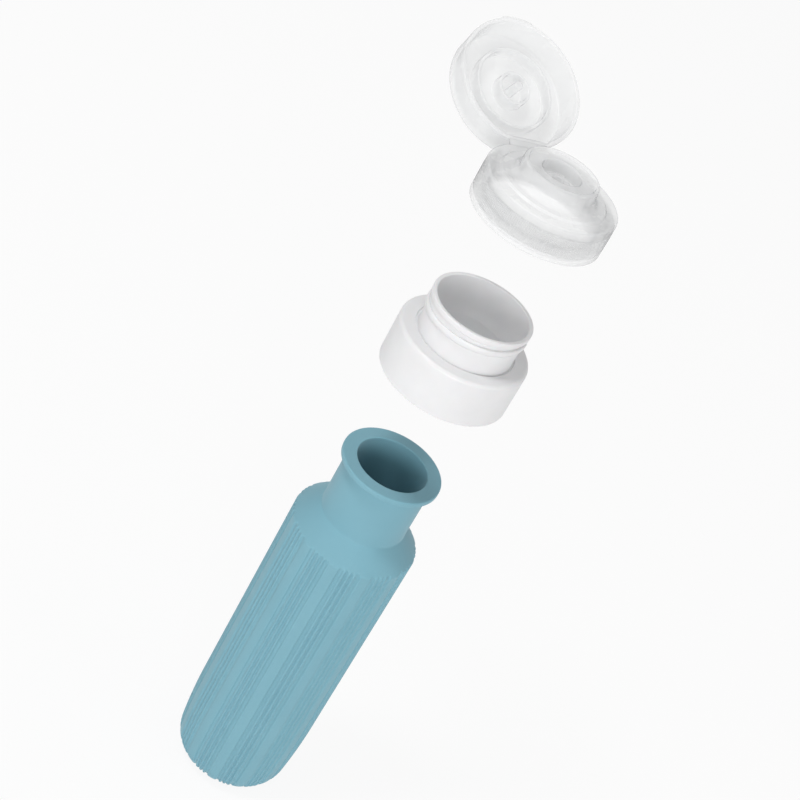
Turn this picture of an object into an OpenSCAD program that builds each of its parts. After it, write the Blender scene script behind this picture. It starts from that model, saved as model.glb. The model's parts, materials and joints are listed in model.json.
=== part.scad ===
// Squeezable travel bottle: a ribbed soft bottle, a screw collar and a flip-top cap.
// The pieces stand on one upright axis, drawn apart the way they are put together.
// Z points up from the middle of the base, and the lid's hinge is at the +Y side.

/* [Soft bottle] */
// Diameter over the crests of the grip ribs
body_d = 40; // [36:0.5:46]
// Height from the base to the mouth
bottle_h = 135; // [115:1:160]
// Thickness of the soft wall below the ribs
wall = 1.9; // [1.4:0.1:2.6]
// Thickness of the floor
floor_t = 2.4; // [1.6:0.1:4]
// Radius of the turn from the side into the base
base_round_r = 7; // [5.5:0.5:9]
// Radius of the long curve that draws the side in above the base
taper_r = 212; // [150:2:260]
// Height of the sloping shoulder
shoulder_h = 6.4; // [5:0.1:10]
// Outer diameter of the neck
neck_d = 27.1; // [25:0.1:28]
// Bore of the mouth
mouth_d = 22.3; // [19:0.1:23]
// Height of the neck from the top of the shoulder to the mouth
neck_h = 21.1; // [18:0.1:24]
// Radius of the soft turn from the shoulder into the neck
neck_fillet_r = 1; // [0.6:0.1:3]

/* [Grip ribs] */
// Height of the tallest rib above the wall
rib_h = 0.5; // [0.3:0.05:0.8]
// How many times the group of one wide rib and three narrow ones goes round
rib_groups = 12; // [9:1:14]

/* [Sealing lip] */
// Outer diameter of the rolled lip at the mouth
lip_d = 31.4; // [30:0.1:31.6]
// Thickness of the lip at its edge
lip_t = 1.8; // [1.2:0.1:2.4]
// Radius that rounds the lip's upper edge
lip_round_r = 0.7; // [0.3:0.1:1]

/* [Screw collar] */
// Outer diameter of the collar's skirt
collar_d = 39.1; // [38:0.1:41]
// Height of the skirt
skirt_h = 14.6; // [12:0.2:18]
// Thickness of the collar's skirt and deck
collar_wall = 1.5; // [1.2:0.1:2]
// Width of the skirt's lower edge, outside the sloping seat
skirt_edge_t = 0.5; // [0.3:0.1:0.8]
// Radius that rounds the skirt's upper edge
collar_round_r = 1.2; // [0.6:0.1:1.5]
// Outer diameter of the threaded neck between its thread and the bead
finish_d = 28.8; // [28.4:0.1:29.6]
// Outer diameter of the bead round the rim
bead_d = 30.1; // [29.8:0.1:30.6]
// Height of the bead
bead_h = 1.5; // [1:0.1:2.5]
// Height of the threaded neck above the deck
finish_h = 11.6; // [9:0.2:13]
// Running gap between the soft neck and the collar's bore
neck_gap = 0.25; // [0.15:0.05:0.4]

/* [Cap] */
// Diameter of the cap at its lower edge
cap_d = 38.2; // [37.6:0.1:40]
// Thickness of the cap's side across both skirts and the gap between them
cap_side_t = 3.15; // [3:0.05:3.3]
// How much smaller the cap is above its lower band
cap_band_step = 0.1; // [0.05:0.05:0.2]
// Height of the plain lower band
cap_band_h = 1.6; // [1:0.1:3]
// Height from the lower edge to the ledge that the lid closes on
cap_h = 10.4; // [10:0.1:14]
// Thickness of the top over the screw skirt
deck_t = 0.9; // [0.7:0.1:1.2]
// Thickness of the outer skirt, the screw skirt and the dome's wall
cap_wall = 1.1; // [0.9:0.1:1.2]
// Radius that rounds the cap's upper edge
cap_round_r = 0.7; // [0.4:0.1:1]
// Height of the raised deck inside the ledge
deck_step_h = 0.6; // [0.3:0.1:0.8]
// Diameter of the raised pouring dome, as a share of the cap's
dome_share = 0.56; // [0.52:0.01:0.58]
// Height of the dome above the raised deck
dome_h = 5; // [4:0.1:5.4]
// Radius of the hollow sweep from the deck up into the dome's wall
dome_sweep_r = 2; // [1:0.1:2.6]
// Radius that rounds the dome's upper edge
dome_round_r = 0.6; // [0.4:0.1:0.8]
// Width of the rim round the dished top of the dome
dome_rim_t = 1.1; // [0.9:0.1:1.6]
// Depth of the dish in the dome
dish_h = 0.5; // [0.3:0.1:0.8]
// Diameter of the well in the middle of the dome, as a share of the cap's
well_share = 0.3; // [0.29:0.01:0.33]
// Depth of the well below the dish
well_h = 3.6; // [3:0.1:3.8]
// Bore of the pouring hole
orifice_d = 3.2; // [2.8:0.1:4]
// Wall of the small lip round the pouring hole
orifice_wall = 1.8; // [1:0.1:2]
// Height of that lip above the floor of the well
orifice_lip_h = 1.2; // [0.8:0.1:1.6]

/* [Lid and hinge] */
// How far the lid's rim stands inside the cap's side
lid_in = 0.25; // [0:0.05:0.5]
// How much smaller the lid is at its closed end
lid_draft = 1.3; // [0.4:0.1:1.6]
// Height of the lid
lid_h = 8.7; // [8:0.1:10]
// Thickness of the lid's wall
lid_wall = 1.1; // [0.8:0.1:1.2]
// Thickness of the lid's top
lid_top_t = 1.2; // [0.9:0.1:1.4]
// Radius that rounds the lid's top edge
lid_round_r = 1; // [0.5:0.1:1.6]
// How far the hinge line lies inside the cap's side
hinge_in = 0.7; // [0.5:0.05:0.9]
// Width of the bending web
strap_w = 12; // [8:0.5:12.5]
// Thickness of the bending web
strap_t = 0.3; // [0.25:0.05:0.4]
// Distance from the flat walls at the hinge to the hinge line
strap_reach = 0.7; // [0.6:0.05:0.8]
// Wall of the sealing ring that fits round the dome
ring_wall = 0.9; // [0.6:0.1:1.2]
// How far the sealing ring overlaps the dome when closed
ring_grip = 1.7; // [0.8:0.1:1.8]
// Gap between the tube round the pin and the well's wall
plug_gap = 0.8; // [0.7:0.05:1.2]
// Wall of that tube
plug_wall = 0.8; // [0.5:0.1:1]
// How far the tube enters the well when closed
plug_grip = 1.3; // [0.8:0.1:1.5]
// Gap between the pin and the wall of the pouring hole
pin_gap = 0.3; // [0.2:0.05:0.6]
// Angle of the lid as shown, from closed
open_angle = 149.6; // [120:0.2:165]

/* [Spread of the pieces] */
// Lift of the collar above its seat on the shoulder
collar_lift = 60.5; // [45:0.1:80]
// Lift of the cap above its seat on the collar
cap_lift = 39.5; // [30:0.1:60]

/* [Hidden] */
$fn = 96;

// Steps in each modelled arc
arc_steps = 6;
// Overrun of every cut
cut = 1;
// Angle at which the base turn meets the long side curve
taper_angle = 5.6;
// Running gaps: shoulder seat, collar's rim under the cap, lid on ledge, ring round the dome
seat_gap = 0.5;
rim_gap = 0.4;
lid_gap = 0.3;
seal_gap = 0.4;
// Small chamfer and edge sizes
edge_c = 0.3;
// Height of the cap's flat below the ledge
flat_h = 2.4;
// How far the pin reaches into the pouring hole
pin_reach = 0.9;
// Thumb lip on the lid: how far it stands out, its width share of the lid and its thickness
thumb_out = 0.6;
thumb_w_share = 0.27;
thumb_t = 1.2;

// One group of ribs: widths, and the width of the groove after each rib
rib_width_shares = [10.7, 2.5, 2.5, 2.5];
rib_gap_shares = [3.7, 2.2, 2.2, 3.7];
// Direction of the middle of one wide rib
rib_turn = 21.5;

body_r = body_d / 2;
neck_r = neck_d / 2;
mouth_r = mouth_d / 2;
lip_r = lip_d / 2;
shoulder_z = bottle_h - neck_h - shoulder_h;
neck_z = bottle_h - neck_h;
shoulder_run = body_r - neck_r;
shoulder_angle = atan(shoulder_run / shoulder_h);

// Centres of the base turn and of the long side curve, shared by every offset of the side
side_join_r = body_r - taper_r * (1 - cos(taper_angle));
base_cr = side_join_r - base_round_r * cos(taper_angle);
side_join_z = base_round_r * (1 - sin(taper_angle));
taper_cr = body_r - taper_r;
taper_cz = side_join_z + taper_r * sin(taper_angle);

collar_r = collar_d / 2;
collar_bore_r = neck_r + neck_gap;
seat_r = collar_r - skirt_edge_t;
seat_z = shoulder_z + (body_r - seat_r) * shoulder_h / shoulder_run + seat_gap;
land_h = (collar_wall - skirt_edge_t) * shoulder_h / shoulder_run;
collar_z = seat_z + collar_lift;
collar_h = skirt_h + finish_h;

cap_r = cap_d / 2;
cap_bore_r = cap_r - cap_side_t;
deck_low = cap_h - deck_t;
// Gap that stays between the cap's lower edge and the collar's deck when the cap is screwed down
cap_gap = finish_h + rim_gap - deck_low;
cap_z = collar_z + skirt_h + cap_gap + cap_lift;
hinge_z = cap_h + lid_gap;
deck_z = cap_h + deck_step_h;
dome_r = cap_r * dome_share;
dome_z = deck_z + dome_h;
dish_z = dome_z - dish_h;
well_r = cap_r * well_share;
well_z = dish_z - well_h;
orifice_r = orifice_d / 2;
orifice_z = well_z + orifice_lip_h;

lid_r = cap_r - lid_in;
hinge_y = cap_r - hinge_in;
plug_r = well_r - plug_gap;
pin_r = orifice_r - pin_gap;
lid_top_r = lid_r - lid_draft / 2;
lid_ceiling = lid_h - lid_top_t;
ring_r = dome_r + seal_gap;
ring_low = dome_z - ring_grip - hinge_z;
plug_low = dish_z - plug_grip - hinge_z;
pin_low = orifice_z - pin_reach - hinge_z;
hinge_flat_y = hinge_y - strap_reach;

// Points on an arc about [cr, cz] from angle a0 to a1
function arc(cr, cz, r, a0, a1) = [for (i = [0:arc_steps])
    let (a = a0 + (a1 - a0) * i / arc_steps) [cr + r * cos(a), cz + r * sin(a)]];

// Side of the bottle from the base to the shoulder, drawn in by inset from the rib crests
function side(inset) = concat(
    arc(base_cr, base_round_r, base_round_r - inset, -90, -taper_angle),
    [for (i = [1:3]) let (a = -taper_angle * (1 - i / 3))
        [taper_cr + (taper_r - inset) * cos(a), taper_cz + (taper_r - inset) * sin(a)]],
    [[body_r - inset, shoulder_z + inset * shoulder_h / shoulder_run]]);

// Soft turn from the sloping shoulder into an upright neck of radius r
function neck_turn(r, top_z, turn_r) = arc(r + turn_r, top_z + turn_r * tan(shoulder_angle / 2),
    turn_r, 180 + shoulder_angle, 180);

function reversed(list) = [for (i = [len(list) - 1:-1:0]) list[i]];
function total(list, n) = n == 0 ? 0 : list[n - 1] + total(list, n - 1);

// Soft bottle without its ribs: floor pad, side, shoulder, neck and mouth
module bottle_body() {
    inner_top_z = neck_z + (neck_r - mouth_r - wall) * shoulder_h / shoulder_run;
    outside = concat([[0, 0], [base_cr, 0]], side(rib_h),
        neck_turn(neck_r, neck_z, neck_fillet_r), [[neck_r, bottle_h]]);
    inside = concat([[0, rib_h + floor_t]],
        arc(base_cr, rib_h + floor_t + base_round_r / 2, base_round_r / 2, -90, -taper_angle),
        [[body_r - rib_h - wall, taper_cz],
         [body_r - rib_h - wall, shoulder_z + rib_h * shoulder_h / shoulder_run]],
        neck_turn(mouth_r, inner_top_z, neck_fillet_r), [[mouth_r, bottle_h]]);
    color("cadetblue")
        rotate_extrude() polygon(concat(outside, reversed(inside)));
}

// One grip rib: a slice of the side that follows the shoulder, the side and the base turn
module rib(start, width) {
    rotate([0, 0, start])
        rotate_extrude(angle = width)
            polygon(concat(side(0), reversed(side(rib_h))));
}

// Upright ribs in groups of one wide and three narrow, which run under the rounded base
module grip_ribs() {
    count = len(rib_width_shares);
    unit = 360 / rib_groups / (total(rib_width_shares, count) + total(rib_gap_shares, count));
    first = rib_turn - unit * rib_width_shares[0] / 2;
    color("cadetblue")
        for (group = [0:rib_groups - 1], i = [0:count - 1])
            rib(first + 360 * group / rib_groups + unit * (total(rib_width_shares, i) + total(rib_gap_shares, i)),
                unit * rib_width_shares[i]);
}

// Rolled lip round the mouth, which squeezes through the collar
module bottle_lip() {
    low_z = bottle_h - lip_t;
    color("cadetblue")
        rotate_extrude() polygon(concat(
            [[neck_r, low_z - edge_c], [neck_r + edge_c, low_z], [lip_r - edge_c, low_z], [lip_r, low_z + edge_c]],
            arc(lip_r - lip_round_r, bottle_h - lip_round_r, lip_round_r, 0, 90),
            [[neck_r, bottle_h]]));
}

// Rigid collar: skirt with a sloping seat, deck, and a neck with a bead at its rim
module screw_collar() {
    finish_r = finish_d / 2;
    bead_r = bead_d / 2;
    outside = concat([[seat_r, 0], [collar_r - edge_c, 0], [collar_r, edge_c]],
        arc(collar_r - collar_round_r, skirt_h - collar_round_r, collar_round_r, 0, 90),
        [[finish_r, skirt_h], [finish_r, collar_h - bead_h - edge_c], [bead_r, collar_h - bead_h],
         [bead_r, collar_h - edge_c], [bead_r - edge_c, collar_h]]);
    inside = [[collar_r - collar_wall, land_h], [collar_r - collar_wall, skirt_h - collar_wall],
        [collar_bore_r, skirt_h - collar_wall], [collar_bore_r, collar_h]];
    color("white")
        translate([0, 0, collar_z])
            rotate_extrude() polygon(concat(outside, reversed(inside)));
}

// Cap: outer and screw skirts, ledge and deck, pouring dome with its well and hole, and the hinge's flat
module cap_base() {
    side_r = cap_r - cap_band_step;
    ledge_r = cap_bore_r - deck_step_h;
    sweep_r = dome_r + dome_sweep_r;
    lip_out_r = orifice_r + orifice_wall;
    outside = concat([[cap_bore_r, 0], [cap_r, 0], [cap_r, cap_band_h], [side_r, cap_band_h + cap_band_step]],
        arc(side_r - cap_round_r, cap_h - cap_round_r, cap_round_r, 0, 90),
        [[ledge_r, cap_h], [ledge_r - deck_step_h, deck_z]],
        arc(sweep_r, deck_z + dome_sweep_r, dome_sweep_r, 270, 180),
        arc(dome_r - dome_round_r, dome_z - dome_round_r, dome_round_r, 0, 90),
        [[dome_r - dome_rim_t, dome_z], [dome_r - dome_rim_t - edge_c, dish_z], [well_r + edge_c, dish_z],
         [well_r, dish_z - edge_c], [well_r, well_z], [lip_out_r, well_z],
         [lip_out_r, orifice_z - edge_c], [lip_out_r - edge_c, orifice_z], [orifice_r, orifice_z]]);
    inside = [[cap_bore_r, deck_low], [dome_r - cap_wall, deck_low],
        [dome_r - cap_wall, dish_z - cap_wall], [well_r + cap_wall, dish_z - cap_wall],
        [well_r + cap_wall, well_z - cap_wall], [orifice_r, well_z - cap_wall]];
    color("gainsboro", 0.6)
        translate([0, 0, cap_z])
            difference() {
                rotate_extrude() polygon(concat(outside, reversed(inside)));
                translate([-cap_r, hinge_flat_y, cap_h - flat_h])
                    cube([2 * cap_r, cap_r, flat_h + cut]);
                difference() {
                    rotate_extrude()
                        translate([cap_bore_r + cap_wall, -cut])
                            square([cap_r - cap_bore_r - 2 * cap_wall, deck_low - edge_c + cut]);
                    translate([-cap_r, hinge_flat_y - cap_wall, -2 * cut])
                        cube([2 * cap_r, cap_r, cap_h + 2 * cut]);
                }
            }
}

// Carries its children from the closed lid's frame to the angle shown
module at_hinge() {
    translate([0, hinge_y, cap_z + hinge_z])
        rotate([-open_angle, 0, 0])
            translate([0, -hinge_y, 0])
                children();
}

// A point given from the hinge line in the lid's frame, turned with the open lid
function opened(y, z) = [y * cos(open_angle) + z * sin(open_angle), z * cos(open_angle) - y * sin(open_angle)];

// Thin web from the cap's flat to the lid's flat, as it lies with the lid open
module living_hinge() {
    color("gainsboro", 0.6)
        translate([-strap_w / 2, hinge_y, cap_z + hinge_z])
            rotate([90, 0, 90])
                linear_extrude(height = strap_w)
                    polygon([[-strap_reach, -lid_gap], [-strap_reach, -lid_gap - strap_t],
                        opened(-strap_reach, strap_t), opened(-strap_reach, 0)]);
}

// Lid: a shallow cup with a flat wall at the hinge and a thumb lip at the front
module flip_lid() {
    thumb_w = 2 * lid_r * thumb_w_share;
    color("gainsboro", 0.6)
        at_hinge()
            difference() {
                union() {
                    rotate_extrude() polygon(concat(
                        [[0, 0], [lid_r, 0]],
                        arc(lid_top_r - lid_round_r, lid_h - lid_round_r, lid_round_r, 0, 90),
                        [[0, lid_h]]));
                    intersection() {
                        cylinder(r = lid_r + thumb_out, h = thumb_t);
                        translate([-thumb_w / 2, -2 * lid_r, 0])
                            cube([thumb_w, 2 * lid_r, thumb_t]);
                    }
                }
                translate([-cap_r, hinge_flat_y, -cut])
                    cube([2 * cap_r, cap_r, lid_h + 2 * cut]);
                difference() {
                    rotate_extrude() polygon([[0, -cut], [lid_r - lid_wall, -cut], [lid_r - lid_wall, 0],
                        [lid_top_r - lid_wall, lid_ceiling], [0, lid_ceiling]]);
                    translate([-cap_r, hinge_flat_y - lid_wall, -2 * cut])
                        cube([2 * cap_r, cap_r, lid_h + 2 * cut]);
                }
            }
}

// Seals under the lid: ring round the dome, tube round the small lip, and the pin
module lid_seal() {
    color("gainsboro", 0.6)
        at_hinge() {
            difference() {
                translate([0, 0, ring_low])
                    cylinder(r = ring_r + ring_wall, h = lid_ceiling - ring_low);
                translate([0, 0, ring_low - cut])
                    cylinder(r = ring_r, h = lid_ceiling - ring_low + 2 * cut);
            }
            difference() {
                translate([0, 0, plug_low])
                    cylinder(r = plug_r, h = lid_ceiling - plug_low);
                translate([0, 0, plug_low - cut])
                    cylinder(r = plug_r - plug_wall, h = lid_ceiling - plug_low + 2 * cut);
            }
            translate([0, 0, pin_low])
                cylinder(r = pin_r, h = lid_ceiling - pin_low);
        }
}

bottle_body();
grip_ribs();
bottle_lip();
screw_collar();
cap_base();
living_hinge();
flip_lid();
lid_seal();
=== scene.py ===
# %% [markdown]
# This lesson dresses a soft travel bottle. The real object is three mouldings: a squeezable silicone
# bottle, a rigid white screw collar, and a translucent flip-top cap whose lid hangs on a thin web.
# The solids come in as a fixed frame, in metres, drawn apart on one upright axis. Each step below makes
# the surface that a buyer would see, in the place that the frame gives.

# %% The frame
import bpy, json, math
from mathutils import Matrix, Vector


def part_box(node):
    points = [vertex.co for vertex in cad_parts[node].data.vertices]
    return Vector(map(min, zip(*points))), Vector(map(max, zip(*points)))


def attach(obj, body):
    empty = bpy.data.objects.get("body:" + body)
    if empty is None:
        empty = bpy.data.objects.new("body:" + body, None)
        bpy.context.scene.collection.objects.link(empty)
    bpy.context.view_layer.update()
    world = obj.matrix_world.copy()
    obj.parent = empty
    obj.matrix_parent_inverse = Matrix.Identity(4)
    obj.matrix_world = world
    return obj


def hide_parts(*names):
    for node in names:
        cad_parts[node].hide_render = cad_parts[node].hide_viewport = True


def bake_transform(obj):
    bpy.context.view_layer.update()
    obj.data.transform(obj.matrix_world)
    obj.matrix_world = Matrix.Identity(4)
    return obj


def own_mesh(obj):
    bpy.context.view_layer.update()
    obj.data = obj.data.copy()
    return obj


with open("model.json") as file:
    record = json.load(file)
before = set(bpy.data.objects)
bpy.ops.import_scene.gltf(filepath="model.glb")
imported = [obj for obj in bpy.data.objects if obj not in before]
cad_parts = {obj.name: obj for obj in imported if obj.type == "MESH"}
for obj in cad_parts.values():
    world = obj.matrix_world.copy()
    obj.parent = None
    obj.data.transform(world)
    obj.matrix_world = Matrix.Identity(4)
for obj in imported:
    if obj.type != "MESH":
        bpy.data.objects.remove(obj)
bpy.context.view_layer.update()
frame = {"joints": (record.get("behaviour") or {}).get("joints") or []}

scene = bpy.context.scene
scene.view_settings.view_transform = "Standard"

# %% [markdown]
# Sizes are written in millimetres, as they would be on a drawing, and turned to metres where a mesh is
# made. The places of the pieces are read from the frame, so a piece follows its solid if that moves.

# %% Sizes and places
MM = 0.001


def reach(name):
    """Outer radius, low and high end of a node, in millimetres."""
    low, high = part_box(name)
    return max(high[0], high[1]) / MM, low[2] / MM, high[2] / MM


BODY_R, _, _ = reach("grip_ribs")
_, _, MOUTH_Z = reach("bottle_body")
LIP_R, LIP_LOW, _ = reach("bottle_lip")
COLLAR_R, COLLAR_Z, COLLAR_TOP = reach("screw_collar")
CAP_R, CAP_Z, _ = reach("cap_base")
hinge = [j for j in frame["joints"] if j["name"] == "lid_hinge"][0]
AXIS_Y, AXIS_Z = (hinge["pos_m"][i] / MM for i in (1, 2))
print("radii", round(BODY_R, 2), round(LIP_R, 2), round(COLLAR_R, 2), round(CAP_R, 2))
print("heights", round(MOUTH_Z, 2), round(COLLAR_Z, 2), round(CAP_Z, 2), "hinge", hinge)

# %% [markdown]
# All three mouldings are round, so most pieces here are a profile of radius and height that goes once
# round the axis. A corner in a moulding is never quite sharp, so every corner of a profile carries its
# own small radius, and a point close to each end of a rounded corner keeps the flat faces looking flat
# under smooth shading.

# %% Profiles with soft corners
SHARP = 0.03


def soft(corners, steps=4, hold=0.08, closed=False):
    """Points (r, z) along corners (r, z, radius), with each corner rounded and held at both ends."""
    count = len(corners)
    line = []
    for i, corner in enumerate(corners):
        at = Vector(corner[:2])
        if not closed and i in (0, count - 1):
            line.append(at)
            continue
        radius = corner[2] if len(corner) > 2 else SHARP
        to_last = (Vector(corners[i - 1][:2]) - at).normalized()
        to_next = (Vector(corners[(i + 1) % count][:2]) - at).normalized()
        half = to_last.angle(to_next) / 2
        cut = radius / math.tan(half)
        centre = at + (to_last + to_next).normalized() * (radius / math.sin(half))
        start = at + to_last * cut - centre
        turn = start.angle_signed(at + to_next * cut - centre)
        line.append(at + to_last * (cut + hold))
        for k in range(steps + 1):
            a = -turn * k / steps
            line.append(centre + Vector((start.x * math.cos(a) - start.y * math.sin(a),
                                         start.x * math.sin(a) + start.y * math.cos(a))))
        line.append(at + to_next * (cut + hold))
    return [(p.x, p.y) for p in line]


def outwards(profile):
    """A closed profile in the anticlockwise direction, which makes its faces point outwards."""
    area = sum(a[0] * b[1] - b[0] * a[1] for a, b in zip(profile, profile[1:] + profile[:1]))
    return profile if area > 0 else profile[::-1]


print("points in one soft corner:", len(soft([(0, 0), (1, 0, 0.2), (1, 1)])) - 2)

# %% [markdown]
# A mesh is a list of points and a list of faces, each face naming its points by their numbers. One
# helper makes a mesh object from such lists, and another works the lists out for a turned profile.


# %% Meshes from points
def mesh_piece(name, points, faces):
    """A mesh object from points in millimetres, smooth shaded, at the origin."""
    mesh = bpy.data.meshes.new(name)
    mesh.from_pydata([tuple(c * MM for c in p) for p in points], [], faces)
    mesh.update()
    mesh.shade_smooth()
    piece = bpy.data.objects.new(name, mesh)
    scene.collection.objects.link(piece)
    return piece


def turned(name, profile, material, place=None, around=192, closed=True):
    """A profile carried round the axis. place(r, z, angle) gives each point its x, y, z."""
    place = place or (lambda r, z, a: (r * math.cos(a), r * math.sin(a), z))
    points, rings, faces = [], [], []
    for r, z in profile:
        first = len(points)
        if r < 1e-6:
            points.append(place(0, z, 0))
            rings.append([first] * around)
        else:
            points += [place(r, z, 2 * math.pi * k / around) for k in range(around)]
            rings.append(list(range(first, first + around)))
    for low, high in zip(rings, rings[1:] + rings[:1] if closed else rings[1:]):
        for k in range(around):
            face = [low[k], low[(k + 1) % around], high[(k + 1) % around], high[k]]
            face = list(dict.fromkeys(face))
            if len(face) > 2:
                faces.append(face)
    piece = mesh_piece(name, points, faces)
    piece.data.materials.append(material)
    print(name, "faces:", len(faces))
    return piece


# %% [markdown]
# A node tree is a recipe that Blender runs on a mesh. One helper adds a node with its settings and its
# inputs, for shapes and for materials alike. Another runs a finished tree once and keeps the plain mesh,
# because a plain mesh can go anywhere, and a live recipe can't.


# %% Node helpers
def fill(tree, node, inputs):
    """Sets inputs of a node. An input takes a value or a link from another node's output."""
    for key, value in inputs.items():
        if isinstance(value, bpy.types.NodeSocket):
            tree.links.new(value, node.inputs[key])
        else:
            node.inputs[key].default_value = value


def add(tree, kind, inputs=None, **settings):
    """One node with its settings and inputs."""
    made = tree.nodes.new(kind)
    for key, value in settings.items():
        setattr(made, key, value)
    fill(tree, made, inputs or {})
    return made


def recipe(name, inputs):
    """An empty geometry tree with named inputs, and its two end nodes."""
    tree = bpy.data.node_groups.new(name, "GeometryNodeTree")
    tree.interface.new_socket("Geometry", in_out="INPUT", socket_type="NodeSocketGeometry")
    for key, kind in inputs.items():
        tree.interface.new_socket(key, in_out="INPUT", socket_type=kind)
    tree.interface.new_socket("Geometry", in_out="OUTPUT", socket_type="NodeSocketGeometry")
    return tree, add(tree, "NodeGroupInput").outputs, add(tree, "NodeGroupOutput")


def run(piece, tree, values):
    """Runs a tree on a piece, and leaves the piece as the plain mesh that came out."""
    live = piece.modifiers.new(tree.name, "NODES")
    live.node_group = tree
    for item in tree.interface.items_tree:
        if item.item_type == "SOCKET" and item.in_out == "INPUT" and item.name in values:
            live[item.identifier] = values[item.name]
    ready = piece.evaluated_get(bpy.context.evaluated_depsgraph_get())
    made = bpy.data.meshes.new_from_object(ready)
    piece.modifiers.remove(live)
    first, piece.data = piece.data, made
    bpy.data.meshes.remove(first)
    made.shade_smooth()
    print(piece.name, "faces:", len(made.polygons))
    return piece


# %% [markdown]
# Two recipes do all the repeating here. The first sets copies of a small shape evenly round the axis:
# one twelfth of the ribbed bottle, or one tooth of the cap's grip. Points that meet are welded.


# %% Recipe: repeat round the axis
def repeat_tree():
    tree, given, end = recipe("Repeat round the axis", {
        "Copies": "NodeSocketInt", "First angle": "NodeSocketFloat", "Step": "NodeSocketFloat",
        "Weld": "NodeSocketFloat", "Material": "NodeSocketMaterial"})
    spots = add(tree, "GeometryNodeMeshLine", {"Count": given["Copies"], "Offset": (0, 0, 0)})
    number = add(tree, "GeometryNodeInputIndex").outputs[0]
    angle = add(tree, "ShaderNodeMath", {0: number, 1: given["Step"], 2: given["First angle"]},
                operation="MULTIPLY_ADD").outputs[0]
    turn = add(tree, "ShaderNodeCombineXYZ", {"Z": angle}).outputs[0]
    copies = add(tree, "GeometryNodeInstanceOnPoints", {
        "Points": spots.outputs[0], "Instance": given["Geometry"], "Rotation": turn}).outputs[0]
    real = add(tree, "GeometryNodeRealizeInstances", {"Geometry": copies}).outputs[0]
    welded = add(tree, "GeometryNodeMergeByDistance", {
        "Geometry": real, "Distance": given["Weld"]}).outputs[0]
    finish = add(tree, "GeometryNodeSetMaterial", {"Geometry": welded, "Material": given["Material"]})
    tree.links.new(finish.outputs[0], end.inputs[0])
    return tree


REPEAT = repeat_tree()
print("recipe:", REPEAT.name, len(REPEAT.nodes), "nodes")

# %% [markdown]
# The second recipe is a screw thread: a ridge that climbs round a wall at a steady pitch and runs out to
# nothing at both ends, where the real mould's cutter left the steel. It sweeps a small closed outline
# along a rising spiral, and a radius that grows from nothing and shrinks again makes the run-out. Left
# alone, the spiral climbs clockwise, seen from above. Reverse makes it climb anticlockwise, which is a
# right-handed thread.


# %% Recipe: screw thread
def thread_tree():
    tree, given, end = recipe("Screw thread", {
        "Radius": "NodeSocketFloat", "Turns": "NodeSocketFloat", "Rise": "NodeSocketFloat",
        "Run-out": "NodeSocketFloat", "Start angle": "NodeSocketFloat", "Low end": "NodeSocketFloat",
        "Material": "NodeSocketMaterial"})
    path = add(tree, "GeometryNodeCurveSpiral", {
        "Resolution": 96, "Rotations": given["Turns"], "Start Radius": given["Radius"],
        "End Radius": given["Radius"], "Height": given["Rise"], "Reverse": True}).outputs[0]
    along = add(tree, "GeometryNodeSplineParameter").outputs["Factor"]
    back = add(tree, "ShaderNodeMath", {0: 1.0, 1: along}, operation="SUBTRACT").outputs[0]
    nearest = add(tree, "ShaderNodeMath", {0: along, 1: back}, operation="MINIMUM").outputs[0]
    grown = add(tree, "ShaderNodeMapRange", {
        "Value": nearest, "From Min": 0.0, "From Max": given["Run-out"], "To Min": 0.02, "To Max": 1.0},
        interpolation_type="SMOOTHSTEP").outputs[0]
    path = add(tree, "GeometryNodeSetCurveNormal", {"Curve": path}, mode="Z_UP").outputs[0]
    path = add(tree, "GeometryNodeSetCurveRadius", {"Curve": path, "Radius": grown}).outputs[0]
    ridge = add(tree, "GeometryNodeMeshToCurve", {"Mesh": given["Geometry"]}).outputs[0]
    swept = add(tree, "GeometryNodeCurveToMesh", {
        "Curve": path, "Profile Curve": ridge, "Fill Caps": True}).outputs[0]
    turn = add(tree, "ShaderNodeCombineXYZ", {"Z": given["Start angle"]}).outputs[0]
    lift = add(tree, "ShaderNodeCombineXYZ", {"Z": given["Low end"]}).outputs[0]
    placed = add(tree, "GeometryNodeTransform", {
        "Geometry": swept, "Translation": lift, "Rotation": turn}).outputs[0]
    real = add(tree, "GeometryNodeRealizeInstances", {"Geometry": placed}).outputs[0]
    finish = add(tree, "GeometryNodeSetMaterial", {"Geometry": real, "Material": given["Material"]})
    tree.links.new(finish.outputs[0], end.inputs[0])
    return tree


THREAD = thread_tree()
# millimetres of climb in a turn, and degrees to the start, of both threads
THREAD_PITCH = 3.2
THREAD_START = 30


def thread(name, outline, radius, turns, low, run_out, material):
    """A thread ridge on a wall of the given radius, up from height low. Its section is (out, up)."""
    outline = outwards(outline)
    count = len(outline)
    seed = bpy.data.meshes.new(name)
    edges = [(i, (i + 1) % count) for i in range(count)]
    seed.from_pydata([(x * MM, y * MM, 0) for x, y in outline], edges, [])
    piece = bpy.data.objects.new(name, seed)
    scene.collection.objects.link(piece)
    return run(piece, THREAD, {
        "Radius": radius * MM, "Turns": turns, "Rise": turns * THREAD_PITCH * MM, "Run-out": run_out,
        "Start angle": math.radians(THREAD_START), "Low end": low * MM, "Material": material})


print("recipe:", THREAD.name, len(THREAD.nodes), "nodes")

# %% [markdown]
# Three finishes cover the object. Colours are written as sRGB hex, the way a colour chart gives them,
# and one function turns them to the linear values that a renderer adds up. Patterns are written by the
# width of their blotches in millimetres, which another function turns to a noise scale.


# %% Colours and patterns
def linear(code):
    """Linear red, green, blue and 1 from an sRGB hex code."""
    parts = [int(code[i:i + 2], 16) / 255 for i in (0, 2, 4)]
    return tuple(c / 12.92 if c <= 0.04045 else ((c + 0.055) / 1.055) ** 2.4 for c in parts) + (1.0,)


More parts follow.
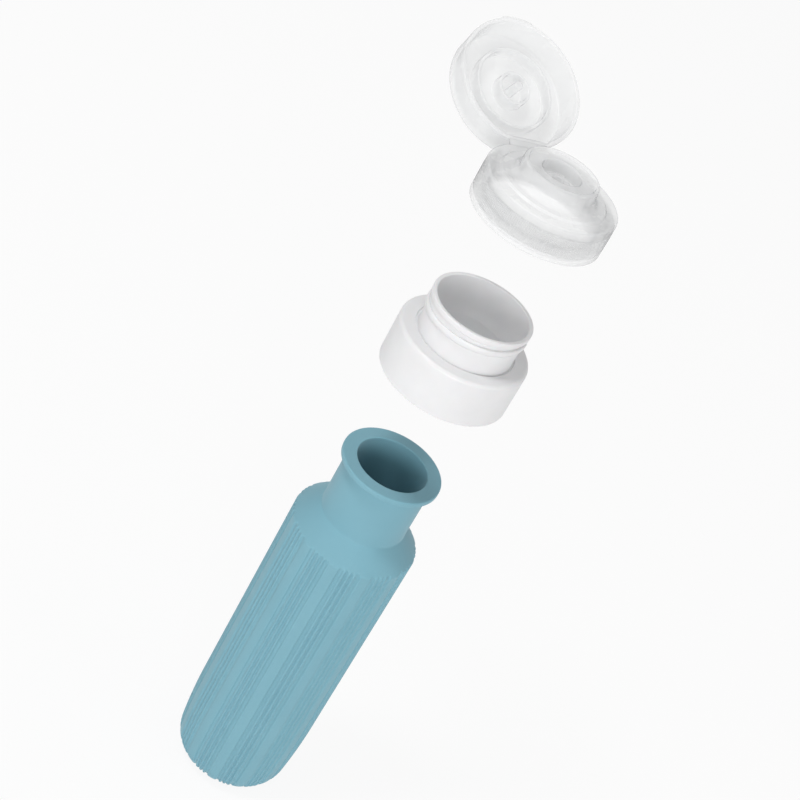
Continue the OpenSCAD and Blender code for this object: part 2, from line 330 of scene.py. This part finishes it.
def scale_of(size):
    """Noise scale of a pattern whose blotches are about size millimetres wide."""
    return 1 / (size * MM)


def finish_tree(name):
    """A new material, its tree, its shader and a link from Object coordinates."""
    material = bpy.data.materials.new(name)
    material.use_nodes = True
    tree = material.node_tree
    shader = tree.nodes["Principled BSDF"]
    return material, tree, shader, add(tree, "ShaderNodeTexCoord").outputs["Object"]


print("scale of a quarter-millimetre grain:", scale_of(0.25))

# %% [markdown]
# The bottle is food-grade silicone rubber, pressed in a steel mould that was blasted with fine grit. The
# grit leaves a matt skin with a grain of about a quarter of a millimetre. The rubber lets a little light
# in below the surface, so its shadows are soft, and fine dust on it gives a pale sheen at low angles.


# %% Finish: matt silicone rubber
def silicone_finish():
    material, tree, shader, where = finish_tree("Matt teal silicone rubber")
    # cloudy pigment, slow swells of the mould face, and the grit's grain
    cloud = add(tree, "ShaderNodeTexNoise", {
        "Vector": where, "Scale": scale_of(16.7), "Detail": 3.0, "Roughness": 0.55}).outputs["Fac"]
    swell = add(tree, "ShaderNodeTexNoise", {
        "Vector": where, "Scale": scale_of(4.0), "Detail": 2.0}).outputs["Fac"]
    grain = add(tree, "ShaderNodeTexNoise", {
        "Vector": where, "Scale": scale_of(0.25), "Detail": 2.0, "Roughness": 0.6}).outputs["Fac"]
    tint = add(tree, "ShaderNodeMix", {
        "Factor": cloud, 6: linear("76A7B6"), 7: linear("7EAEBC")}, data_type="RGBA")
    both = add(tree, "ShaderNodeMath", {0: swell, 1: 2.0, 2: grain}, operation="MULTIPLY_ADD")
    bump = add(tree, "ShaderNodeBump", {"Height": both.outputs[0], "Strength": 0.25, "Distance": 0.06 * MM})
    rough = add(tree, "ShaderNodeMapRange", {"Value": cloud, "To Min": 0.55, "To Max": 0.68})
    fill(tree, shader, {
        "Base Color": tint.outputs[2], "Normal": bump.outputs[0], "Roughness": rough.outputs[0],
        "IOR": 1.41, "Subsurface Weight": 0.08, "Subsurface Radius": (0.6, 0.9, 1.0),
        "Subsurface Scale": 0.8 * MM, "Sheen Weight": 0.12, "Sheen Roughness": 0.5})
    return material


SILICONE = silicone_finish()
print("finish:", SILICONE.name)

# %% [markdown]
# The collar is polypropylene with white pigment, injection moulded. Its mould was polished but not to a
# mirror, so highlights are broad and satin. A slow waviness of a few millimetres comes from shrinkage.


# %% Finish: white polypropylene
def white_finish():
    material, tree, shader, where = finish_tree("White moulded polypropylene")
    wave = add(tree, "ShaderNodeTexNoise", {
        "Vector": where, "Scale": scale_of(5.55), "Detail": 2.0}).outputs["Fac"]
    tint = add(tree, "ShaderNodeMix", {
        "Factor": wave, 6: linear("E2E2E3"), 7: linear("E9E9EA")}, data_type="RGBA")
    bump = add(tree, "ShaderNodeBump", {"Height": wave, "Strength": 0.15, "Distance": 0.05 * MM})
    rough = add(tree, "ShaderNodeMapRange", {"Value": wave, "To Min": 0.34, "To Max": 0.46})
    fill(tree, shader, {
        "Base Color": tint.outputs[2], "Normal": bump.outputs[0], "Roughness": rough.outputs[0],
        "IOR": 1.49, "Subsurface Weight": 0.05, "Subsurface Scale": 1.0 * MM})
    return material


WHITE = white_finish()
print("finish:", WHITE.name)

# %% [markdown]
# The cap is the same polypropylene without pigment. It isn't clear like glass: tiny crystals in it
# scatter light, so a thin wall is milky, and each wall that the eye looks through adds some grey. Just
# where a wall turns away from the eye, most plastic lies in the line of sight, and Layer Weight greys a
# narrow rim there: a painted shade that draws the edges of each wall dark.


# %% Finish: natural translucent polypropylene
def clear_finish():
    material, tree, shader, where = finish_tree("Natural translucent polypropylene")
    haze = add(tree, "ShaderNodeTexNoise", {
        "Vector": where, "Scale": scale_of(7.15), "Detail": 3.0}).outputs["Fac"]
    face = add(tree, "ShaderNodeMix", {
        "Factor": haze, 6: linear("F1F2F3"), 7: linear("FAFAFA")}, data_type="RGBA").outputs[2]
    # painted shade: Layer Weight greys the colour towards 84888A where a wall turns away from the eye,
    # drawing its edges dark
    edge = add(tree, "ShaderNodeLayerWeight", {"Blend": 0.35}).outputs["Facing"]
    rim = add(tree, "ShaderNodeMapRange", {"Value": edge, "From Min": 0.45, "From Max": 0.95},
              interpolation_type="SMOOTHSTEP").outputs[0]
    tint = add(tree, "ShaderNodeMix", {"Factor": rim, 6: face, 7: linear("84888A")}, data_type="RGBA")
    bump = add(tree, "ShaderNodeBump", {"Height": haze, "Strength": 0.12, "Distance": 0.05 * MM})
    rough = add(tree, "ShaderNodeMapRange", {"Value": haze, "To Min": 0.22, "To Max": 0.32})
    fill(tree, shader, {
        "Base Color": tint.outputs[2], "Normal": bump.outputs[0], "Roughness": rough.outputs[0],
        "IOR": 1.49, "Specular IOR Level": 0.25, "Alpha": 0.36})
    return material


CLEAR = clear_finish()
print("finish:", CLEAR.name)

# %% [markdown]
# The bottle's grip is the part that takes the most skill. Ribs stand round it in twelve equal groups:
# one wide rib with a softly crowned face, then three narrow ones. They run straight up the side, end on
# the sloping shoulder as if a cone had cut them, and curl under the round base until they run out into
# the standing pad. A wall with a rule is made from that rule: for each direction round the axis the rule
# says how deep the wall lies below the crests, and the profile of the side is drawn at that depth.

# %% Rule of the ribs
GROUPS = 12
GROUP = 360 / GROUPS
RIB_H = 0.5
# places and widths round the axis, in degrees
RIB_TURN = 21.5
WIDE, NARROW = 10.7, 2.5
WIDE_GAP, NARROW_GAP = 3.7, 2.2
FLANK = 1.5
# share of its height that a crown loses towards its sides
WIDE_CROWN, NARROW_CROWN = 0.16, 0.1


def rib_places():
    """Middle and width in degrees of the ribs of one group, from the middle of the wide rib."""
    found = [(0.0, WIDE)]
    edge = WIDE / 2 + WIDE_GAP
    for _ in range(3):
        found.append((edge + NARROW / 2, NARROW))
        edge += NARROW + NARROW_GAP
    return found


def ease(t):
    """A smooth step from 0 to 1."""
    t = min(1.0, max(0.0, t))
    return t * t * (3 - 2 * t)


def crest(angle):
    """Height share of the rib wall, 1 on a crest and 0 in a groove, at degrees into the group."""
    high = 0.0
    for middle, width in rib_places():
        off = abs((angle - middle + GROUP / 2) % GROUP - GROUP / 2)
        wall = ease((width / 2 - off) / FLANK + 0.5)
        crown = 1 - (WIDE_CROWN if width == WIDE else NARROW_CROWN) * min(1, off / (width / 2)) ** 2
        high = max(high, wall * crown)
    return high


def rib_angles():
    """Directions in one group where the wall needs points: close together on the flanks."""
    marks = set()
    for middle, width in rib_places():
        for side_sign in (-1, 1):
            edge = middle + side_sign * width / 2
            marks |= {round(edge + FLANK * k, 3) for k in (-0.55, -0.33, -0.15, 0.05, 0.25, 0.5)}
        shares = (-0.3, -0.15, 0, 0.15, 0.3) if width == WIDE else (0,)
        marks |= {round(middle + width * k, 3) for k in shares}
    start = -GROUP / 2
    return sorted({start} | {(m - start) % GROUP + start for m in marks}) + [start + GROUP]


print("points across one group:", len(rib_angles()))

# %% [markdown]
# The side itself is a long, slow curve that draws in towards a rounded base. The shoulder is a straight
# cone with a soft turn into the neck, and the wall inside follows the outside. The soft neck ends in a
# flat face that carries on into the rolled lip. That face lies a hair below the solid's, so that the
# model stays inside the box of its solids. On a straight stretch any height does for a point, so round
# numbers such as 60 or 122 stand there.

# %% Side of the bottle
WALL, FLOOR = 1.9, 2.4
BASE_R = 7.0
TAPER_R, TAPER = 212.0, math.radians(5.6)
SHOULDER_Z, NECK_Z = 107.5, 113.9
NECK_R, BORE_R = 13.55, 11.15
NECK_TOP = MOUTH_Z - 0.02
# inside this radius the floor and the pad are closed by triangles
CENTRE_R = 6.0
TAPER_Z = BASE_R * (1 - math.sin(TAPER)) + TAPER_R * math.sin(TAPER)
PAD_R = BODY_R - TAPER_R * (1 - math.cos(TAPER)) - BASE_R * math.cos(TAPER)
SLOPE = (NECK_Z - SHOULDER_Z) / (BODY_R - NECK_R)


def side(depth):
    """Profile (r, z) from the pad up to the shoulder, at a depth below the crests."""
    line = []
    for k in range(13):
        a = -math.pi / 2 + (math.pi / 2 - TAPER) * k / 12
        r = BASE_R - depth * ease(k / 3)
        line.append((PAD_R + r * math.cos(a), BASE_R + r * math.sin(a)))
    for k in range(1, 7):
        a = -TAPER * (1 - k / 6)
        r = TAPER_R - depth
        line.append((BODY_R - TAPER_R + r * math.cos(a), TAPER_Z + r * math.sin(a)))
    wall_r = BODY_R - depth
    top = SHOULDER_Z + depth * SLOPE
    line += [(wall_r, z) for z in (60, 80, 95, 102, top - 1.0, top - 0.45)]
    # a soft edge on to the cone, and a point half a millimetre up the cone
    fall = math.hypot(1, SLOPE)
    on_cone = (wall_r - 0.33, top + 0.18)
    line += [(wall_r - 0.1, top - 0.12), on_cone, (on_cone[0] - 0.5 / fall, on_cone[1] + 0.5 * SLOPE / fall)]
    return line


def upper_wall():
    """Shoulder, neck, mouth and the inside down to the floor, shared by every direction."""
    cone = [(BODY_R - t, SHOULDER_Z + t * SLOPE) for t in (2.2, 3.4)]
    turn = soft([cone[-1], (NECK_R, NECK_Z, 1.0), (NECK_R, MOUTH_Z)], 6)[1:-1]
    mouth = soft([(NECK_R, 128), (NECK_R, NECK_TOP), (BORE_R, NECK_TOP, 0.35), (BORE_R, 122)], 5, hold=0.03)
    inner_r = BODY_R - RIB_H - WALL
    inner_z = NECK_Z + (NECK_R - BORE_R - WALL) * SLOPE
    floor_z = RIB_H + FLOOR
    inside = soft([(BORE_R, 122), (BORE_R, inner_z, 2.0), (inner_r, SHOULDER_Z + RIB_H * SLOPE, 2.0),
                   (inner_r, 60)], 4)[1:]
    base = soft([(inner_r, 40), (PAD_R + BASE_R - RIB_H - WALL - 0.6, floor_z, 4.0), (PAD_R, floor_z)], 6)
    return cone + turn + mouth + inside + base + [(CENTRE_R, floor_z)]


UPPER = upper_wall()
print("pad radius", round(PAD_R, 2), "points up the wall", len(side(0)) + len(UPPER))

# %% [markdown]
# One twelfth of the bottle is drawn as a grid, wide enough for one group of ribs, and the recipe sets
# twelve of them round the axis and welds their edges. Close to the axis, triangles to one middle point
# close the floor inside and the pad outside.


# %% Bottle skin
def bottle_sector():
    angles = rib_angles()
    points, faces = [], []
    for angle in angles:
        a = math.radians(RIB_TURN + angle)
        line = [(CENTRE_R, 0)] + side(RIB_H * (1 - crest(angle))) + UPPER
        points += [(r * math.cos(a), r * math.sin(a), z) for r, z in line]
    tall = len(points) // len(angles)
    for i in range(len(angles) - 1):
        for k in range(tall - 1):
            low = i * tall + k
            faces.append((low, low + tall, low + tall + 1, low + 1))
    floor, pad = len(points), len(points) + 1
    points += [(0, 0, RIB_H + FLOOR), (0, 0, 0)]
    for i in range(len(angles) - 1):
        faces.append(((i + 1) * tall - 1, (i + 2) * tall - 1, floor))
        faces.append(((i + 1) * tall, i * tall, pad))
    return mesh_piece("Bottle_skin", points, faces)


bottle = run(bottle_sector(), REPEAT, {
    "Copies": GROUPS, "First angle": 0.0, "Step": 2 * math.pi / GROUPS, "Weld": 0.002 * MM,
    "Material": SILICONE})
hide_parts("bottle_body", "grip_ribs")
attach(bottle, "bottle")

# %% [markdown]
# The rolled lip is a thick soft ring that stands out all round the mouth. It is the seal: it squeezes
# through the collar and is pinched between the collar's rim and the cap. It is a piece of its own here.
# At rest its top face meets the neck's without a step.

# %% Lip
lip_in, lip_under = NECK_R - 0.01, LIP_LOW + 0.3
lip_profile = soft([(lip_in, NECK_TOP), (lip_in, LIP_LOW + 0.05), (NECK_R + 0.15, lip_under, 0.1),
                    (LIP_R, lip_under, 0.45), (LIP_R, NECK_TOP, 0.45)], 5, hold=0.03, closed=True)
lip = turned("Mouth_lip", outwards(lip_profile), SILICONE)
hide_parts("bottle_lip")
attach(lip, "bottle")
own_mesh(lip)

# %% [markdown]
# The collar is one turned shape: a wide skirt that sits on the shoulder, a deck, and a narrower neck
# with a plain bead at the rim. A shallow groove in the deck runs round the neck's root, and shows as a
# fine line.

# %% Collar
BORE = NECK_R + 0.25
SKIRT_H, DECK, SKIRT_WALL = 14.6, 1.5, 1.5
COLLAR_NECK_R, BEAD_R, GROOVE = 14.4, 15.05, 0.4
deck_z = COLLAR_Z + SKIRT_H
skirt_in = COLLAR_R - SKIRT_WALL
collar_profile = soft([
    # skirt
    (COLLAR_R - 0.5, COLLAR_Z, 0.12), (COLLAR_R, COLLAR_Z, 0.25), (COLLAR_R, deck_z, 1.15),
    # groove in the deck, round the neck's root
    (15.1, deck_z, 0.12), (14.95, deck_z - GROOVE, 0.12), (COLLAR_NECK_R, deck_z - GROOVE, 0.12),
    # neck with its bead
    (COLLAR_NECK_R, COLLAR_TOP - 2.0, 0.5), (BEAD_R, COLLAR_TOP - 1.5, 0.3), (BEAD_R, COLLAR_TOP, 0.35),
    # bore and the inside of the skirt
    (BORE, COLLAR_TOP, 0.4), (BORE, deck_z - DECK, 0.4), (skirt_in, deck_z - DECK, 0.8),
    (skirt_in, COLLAR_Z + 1.0, 0.3)], 5, closed=True)
collar = turned("Collar_moulding", outwards(collar_profile), WHITE)
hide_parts("screw_collar")
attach(collar, "collar")

# %% [markdown]
# A bottle thread is a low broad ridge with a flat crest, not a sharp one. This one climbs to the right
# for most of a turn, at the pitch of a small bottle neck, and ends abruptly just below the bead. Its
# underside is steep, because that is the side that the cap pulls on.

# %% Collar thread
collar_ridge = [(-0.25, -1.15), (0.6, -1.12), (0.75, -0.95), (0.68, 0.3), (0.4, 0.9), (-0.25, 1.15)]
collar_thread = thread("Collar_thread", collar_ridge, COLLAR_NECK_R, 0.8, COLLAR_Z + 20.0, 0.03, WHITE)
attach(collar_thread, "collar")

# %% [markdown]
# The cap is turned too, but its back is cut flat for the hinge. Its profile goes round both skirts: the
# outer one carries the grip, the inner one the thread. In the middle the dome stands up with a dished
# top, and a well in it holds the small raised pouring hole. A flat is made by holding every point back
# to it, with a soft limit, so the edge of the flat is rounded as the mould's is. The groove between the
# skirts has a lower roof at the back, so that the flat doesn't cut into it.

# %% Cap
FLAT_Y = AXIS_Y - 0.7
LEDGE = 10.4
FLAT_LOW, FLAT_IN = 8.0, 14
GRIP_R = CAP_R - 0.1
THREAD_BORE = 15.95
GROOVE_IN, GROOVE_OUT, GROOVE_ROOF = 17.05, 18.0, 9.2
ROOF_DROP, DROP_Y = 1.6, 14.5


def soft_limit(value, limit, width=0.25):
    """value, held to limit with a rounded corner of the given width."""
    if value < limit - width:
        return value
    over = value - (limit - width)
    return limit - width + width * (1 - math.exp(-over / width))


def cap_point(r, z, a):
    """A point of the cap, with the flat at the back and the lower groove roof behind it."""
    x, y = r * math.cos(a), r * math.sin(a)
    if GROOVE_IN - 0.15 < r < GROOVE_OUT + 0.2 and 6 < z < GROOVE_ROOF + 0.4:
        z -= ROOF_DROP * ease((y - DROP_Y) / 1.5)
    elif r > FLAT_IN and z > FLAT_LOW - 0.3:
        y += (soft_limit(y, FLAT_Y) - y) * ease((z - FLAT_LOW + 0.3) / 0.3)
    return x, y, CAP_Z + z


cap_profile = soft([
    # inner skirt, groove and outer skirt, from inside to outside
    (THREAD_BORE, 0, 0.2), (GROOVE_IN, 0, 0.2), (GROOVE_IN, GROOVE_ROOF, 0.3),
    (GROOVE_OUT, GROOVE_ROOF, 0.3), (GROOVE_OUT, 0, 0.2), (CAP_R, 0, 0.3),
    # grip band, up to the ledge that the lid closes on
    (CAP_R, 1.55, 0.05), (GRIP_R, 1.75, 0.05), (GRIP_R, 7.7), (GRIP_R, 8.0), (GRIP_R, LEDGE, 0.7),
    # step and deck
    (15.45, LEDGE, 0.2), (14.8, 11.0, 0.25), (12.3, 11.0, 1.2),
    # dome and its dished top
    (11.0, 12.6, 1.2), (10.7, 16.0, 0.6), (9.75, 16.0, 0.2), (9.5, 15.5, 0.2), (5.7, 15.5, 0.35),
    # well with the raised pouring hole
    (5.7, 11.9, 0.3), (3.4, 11.9, 0.2), (3.4, 13.1, 0.35), (1.6, 13.1, 0.3), (1.6, 10.8, 0.2),
    # underside
    (6.8, 10.8, 0.4), (6.8, 14.4, 0.3), (9.6, 14.4, 0.4), (9.6, 9.5, 0.4), (THREAD_BORE, 9.5, 0.5)],
    4, hold=0.06, closed=True)
cap = turned("Cap_moulding", outwards(cap_profile), CLEAR, cap_point, around=240)
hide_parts("cap_base")
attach(cap, "cap")

# %% [markdown]
# Fingers turn the cap by a band of fine upright teeth. One tooth is a low three-sided bar with a few
# faces, and the repeat recipe sets it all round, apart from the flat at the hinge.

# %% Grip teeth
TEETH = 180
TOOTH_OUT, TOOTH_HALF = 0.07, 0.2
TOOTHLESS = math.radians(48)
tooth_rows = [(2.1, 0.0), (2.6, 1.0), (7.6, 1.0), (8.1, 0.0)]
root = CAP_R - 0.16
tooth_points, tooth_faces = [], []
for height, share in tooth_rows:
    z = CAP_Z + height
    tooth_points += [(root, -TOOTH_HALF, z), (root + 0.06 + TOOTH_OUT * share, 0, z), (root, TOOTH_HALF, z)]
# three faces from each row of three points to the next, and the two ends
for i in (0, 3, 6):
    tooth_faces += [(i, i + 1, i + 4, i + 3), (i + 1, i + 2, i + 5, i + 4), (i + 2, i, i + 3, i + 5)]
tooth_faces += [(2, 1, 0), (9, 10, 11)]
teeth = run(mesh_piece("Cap_grip", tooth_points, tooth_faces), REPEAT, {
    "Copies": TEETH, "First angle": (math.pi + TOOTHLESS) / 2,
    "Step": (2 * math.pi - TOOTHLESS) / (TEETH - 1), "Weld": 0.0, "Material": CLEAR})
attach(teeth, "cap")

# %% [markdown]
# On the inside of the screw skirt the same thread recipe runs with its ridge turned inwards. Its pitch
# is the collar's, because the two threads have to mate.

# %% Cap thread
cap_ridge = [(0.2, -0.6), (-0.2, -0.4), (-0.45, -0.15), (-0.45, 0.1), (-0.2, 0.4), (0.2, 0.5)]
cap_thread = thread("Cap_thread", cap_ridge, THREAD_BORE, 1.5, CAP_Z + 1.2, 0.08, CLEAR)
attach(cap_thread, "cap")

# %% [markdown]
# The lid is drawn closed, as it sits on the cap, and then turned about the hinge line to where it
# stands. Closed is the upper end of the hinge's range, so that is the angle it is turned back by. Its
# profile takes in everything under the lid: the pin that stops the hole, the tube round it and the ring
# that grips the dome. At the front of the rim a thumb lip stands out, and at the back the wall is flat.

# %% Lid
OPEN = math.radians(max(hinge["range_deg"]))
LID_R, LID_H = 18.85, 8.7
LID_WALL, ROOF, ROOF_R = 1.1, 1.2, 18.11
RIM_H = 1.3
# growth of the rim at the thumb lip, and the angles over which it stands and ends
THUMB_OUT, THUMB_HALF, THUMB_END = 0.028, math.radians(16), math.radians(2.5)


def opened(x, y, z):
    """A point of the closed lid, measured up from the hinge line, turned with the lid."""
    y -= AXIS_Y
    return (x, AXIS_Y + y * math.cos(OPEN) + z * math.sin(OPEN),
            AXIS_Z - y * math.sin(OPEN) + z * math.cos(OPEN))


def lid_point(r, h, a):
    """A point of the lid, with the thumb lip in front and the flat wall at the back."""
    x, y = r * math.cos(a), r * math.sin(a)
    if r > LID_R - 0.15 and h < RIM_H:
        front = ease((THUMB_HALF - abs(a - 1.5 * math.pi)) / THUMB_END)
        x, y = x * (1 + THUMB_OUT * front), y * (1 + THUMB_OUT * front)
    inner = 10 < r < 17.9 and h < LID_H - 1.1
    y = soft_limit(y, FLAT_Y - (LID_WALL if inner else 0))
    return opened(x, y, h)


under = LID_H - ROOF
lid_profile = soft([
    # pin that stops the hole
    (0, 1.55), (1.25, 1.55, 0.55), (1.3, under, 0.35),
    # tube round it
    (4.1, under, 0.35), (4.15, 3.5, 0.25), (4.9, 3.5, 0.3), (4.95, under, 0.35),
    # ring that grips the dome
    (11.15, under, 0.35), (11.1, 3.6, 0.3), (12.0, 3.6, 0.3), (12.0, under, 0.4),
    # wall, rim and roof
    (17.1, under, 0.7), (LID_R - LID_WALL, 0, 0.25), (LID_R, 0, 0.25), (LID_R, 1.15, 0.12),
    (LID_R - 0.12, 1.35, 0.05), (ROOF_R, LID_H, 1.0), (0, LID_H)], 4, hold=0.06)
lid = turned("Lid_moulding", outwards(lid_profile), CLEAR, lid_point, around=240, closed=False)
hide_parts("flip_lid", "lid_seal")
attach(lid, "lid")

# %% [markdown]
# The hinge is a web of the same plastic, thinned so that it bends for years without breaking. It starts
# on the cap's flat and ends on the lid's, and spans the gap between the two bodies. Both its faces are drawn
# in equal steps from the cap to the lid, so that it has rows of points to bend at.

# %% Living hinge
WEB_W, WEB_T, STEPS, STRIPS = 12.0, 0.3, 8, 12
WEB_IN = -0.85
near = [(WEB_IN, -WEB_T), (WEB_IN, -2 * WEB_T)]
far = [opened(0, AXIS_Y + WEB_IN, h)[1:] for h in (0.0, WEB_T)]
far = [(y - AXIS_Y, z - AXIS_Z) for y, z in far]
sides = [[tuple(a * (1 - k / STEPS) + b * (k / STEPS) for a, b in zip(start, end))
          for k in range(STEPS + 1)] for start, end in zip(near, far)]
ring = sides[0] + sides[1][::-1]
count = len(ring)
web_points = [(-WEB_W / 2 + WEB_W * i / STRIPS, AXIS_Y + y, AXIS_Z + z)
              for i in range(STRIPS + 1) for y, z in ring]
web_faces = [(i * count + k, i * count + (k + 1) % count, (i + 1) * count + (k + 1) % count,
              (i + 1) * count + k) for i in range(STRIPS) for k in range(count)]
web_faces += [tuple(range(count))[::-1], tuple(STRIPS * count + k for k in range(count))]
web = mesh_piece("Hinge_web", web_points, web_faces)
web.data.materials.append(CLEAR)
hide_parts("living_hinge")
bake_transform(web)
print("Hinge_web faces:", len(web.data.polygons))

# %% [markdown]
# The picture is taken on white with soft light from all round. A pale floor carries the shadow. To the
# camera, the floor is mostly its own even white with a little of the light that falls on it, so the
# shadow stays and the rest is paper white. The world is white to the camera and to rays that leave
# gloss or clear plastic, and dimmer to everything else, so that the lamps shape the object.

# %% Floor and world
# half the floor's width in metres, its share of own white, and the world's level off direct rays
FLOOR_HALF = 3.0
FLOOR_OWN = 0.9
WORLD_DIM = 0.48


def direct_rays(tree):
    """1 for rays that come from the camera, leave gloss or pass through clear plastic, 0 for others."""
    seen = add(tree, "ShaderNodeLightPath").outputs
    first = add(tree, "ShaderNodeMath", {0: seen["Is Camera Ray"], 1: seen["Is Glossy Ray"]},
                operation="MAXIMUM").outputs[0]
    return add(tree, "ShaderNodeMath", {0: first, 1: seen["Is Transmission Ray"]},
               operation="MAXIMUM").outputs[0]


def stage_floor():
    half = FLOOR_HALF
    mesh = bpy.data.meshes.new("Studio_floor")
    mesh.from_pydata([(-half, -half, 0), (half, -half, 0), (half, half, 0), (-half, half, 0)],
                     [], [(0, 1, 2, 3)])
    floor = bpy.data.objects.new("Studio_floor", mesh)
    scene.collection.objects.link(floor)
    material = bpy.data.materials.new("Paper floor")
    material.use_nodes = True
    tree = material.node_tree
    tree.nodes.clear()
    matt = add(tree, "ShaderNodeBsdfDiffuse", {"Color": linear("F0F0F0")})
    even = add(tree, "ShaderNodeEmission", {"Color": (1, 1, 1, 1), "Strength": 1.0})
    share = add(tree, "ShaderNodeMath", {0: direct_rays(tree), 1: FLOOR_OWN}, operation="MULTIPLY")
    mixed = add(tree, "ShaderNodeMixShader", {0: share.outputs[0], 1: matt.outputs[0], 2: even.outputs[0]})
    add(tree, "ShaderNodeOutputMaterial", {"Surface": mixed.outputs[0]})
    mesh.materials.append(material)


def stage_world():
    world = bpy.data.worlds.new("White studio")
    scene.world = world
    world.use_nodes = True
    tree = world.node_tree
    tree.nodes.clear()
    level = add(tree, "ShaderNodeMapRange", {"Value": direct_rays(tree), "To Min": WORLD_DIM, "To Max": 1.0})
    back = add(tree, "ShaderNodeBackground", {"Color": (1, 1, 1, 1), "Strength": level.outputs[0]})
    add(tree, "ShaderNodeOutputWorld", {"Surface": back.outputs[0]})


stage_floor()
stage_world()
print("stage:", scene.world.name, "over a floor of", 2 * FLOOR_HALF, "m")

# %% [markdown]
# The camera stands where the fitted view of the picture puts it, above and to the front left, and rolled
# so that the bottle's axis leans. Its three directions are the columns of its matrix.

# %% Camera
RIGHT = Vector((0.85863, -0.30825, 0.40956))
UP = Vector((-0.09879, 0.68451, 0.72228))
BACK = Vector((-0.50298, -0.66063, 0.55729))
SPOT = Vector((-249.76, -315.73, 426.02)) * MM
lens = bpy.data.cameras.new("Camera")
lens.sensor_width, lens.lens = 36.0, 76.97
lens.clip_start, lens.clip_end = 0.01, 20
camera = bpy.data.objects.new("Camera", lens)
scene.collection.objects.link(camera)
columns = [direction.resized(4) for direction in (RIGHT, UP, BACK)] + [SPOT.to_4d()]
camera.matrix_world = Matrix(columns).transposed()
scene.camera = camera
print("camera height", round(camera.matrix_world.translation.z, 3), "m, lens", round(lens.lens, 2), "mm")

# %% [markdown]
# Four soft lamps. The key stands low under the camera, so that the sides are bright and the inside of
# each bore stays dark. A small one high on the left lifts the cap, the lid and the deck of the collar,
# and leaves the right of the lip and of the shoulder darker. Two weak fills round off the edges.


# %% Lamps
def lamp(name, place, size, watts, aim=(0, 0, 0.12)):
    """A round area lamp of a size in metres, turned towards the bottle's neck."""
    light = bpy.data.lights.new(name, "AREA")
    light.shape, light.size, light.energy = "DISK", size, watts
    made = bpy.data.objects.new(name, light)
    scene.collection.objects.link(made)
    made.location = place
    made.rotation_euler = (Vector(aim) - Vector(place)).to_track_quat("-Z", "Y").to_euler()


lamp("Key", (-0.60, -1.13, 0.32), 0.6, 6.8)
lamp("High left", (-0.5, 0.08, 1.2), 0.25, 4.4)
lamp("Left fill", (-1.3, 0.2, 0.4), 0.7, 1.0)
lamp("Right fill", (0.9, -1.0, 0.4), 0.7, 1.5)
